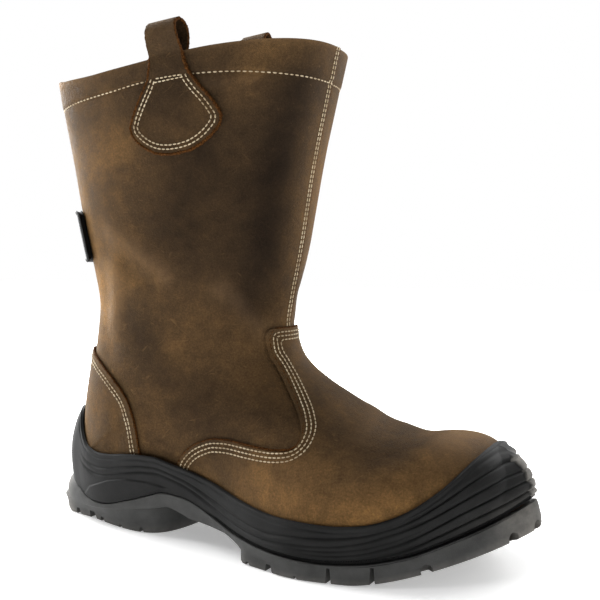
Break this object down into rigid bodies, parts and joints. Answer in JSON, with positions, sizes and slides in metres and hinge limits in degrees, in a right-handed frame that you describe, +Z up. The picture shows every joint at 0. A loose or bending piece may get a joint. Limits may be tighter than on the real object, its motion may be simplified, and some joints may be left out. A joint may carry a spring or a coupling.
{
  "type": "safety boot",
  "caption": "Right pull-on safety boot: tall leather shaft open at the collar, pull loops, stitched vamp and heel counter on a moulded sole with heel, arch and ribbed toe bumper.",
  "frame": {"origin": "middle of the boot's outer box, on the floor", "axes": "+X from the heel towards the toe, +Y towards the inner (medial) side, +Z up the shaft"},
  "size_m": [0.3098, 0.1328, 0.3169],
  "materials": {
    "outsole": "matte dark grey moulded rubber",
    "midsole": "matte black moulded polyurethane",
    "insole": "dark felt",
    "upper": "oiled brown leather",
    "vamp": "oiled brown leather",
    "heel_counter": "oiled brown leather",
    "back_badge": "black moulded tab, plain",
    "pull_loop_lateral": "oiled brown leather",
    "pull_loop_medial": "oiled brown leather"
  },
  "bodies": {
    "root": {"outsole": "outsole", "midsole": "midsole", "insole": "insole", "upper": "upper", "vamp": "vamp", "heel_counter": "heel_counter", "back_badge": "back_badge", "pull_loop_lateral": "pull_loop_lateral", "pull_loop_medial": "pull_loop_medial"}
  },
  "joints": []
}
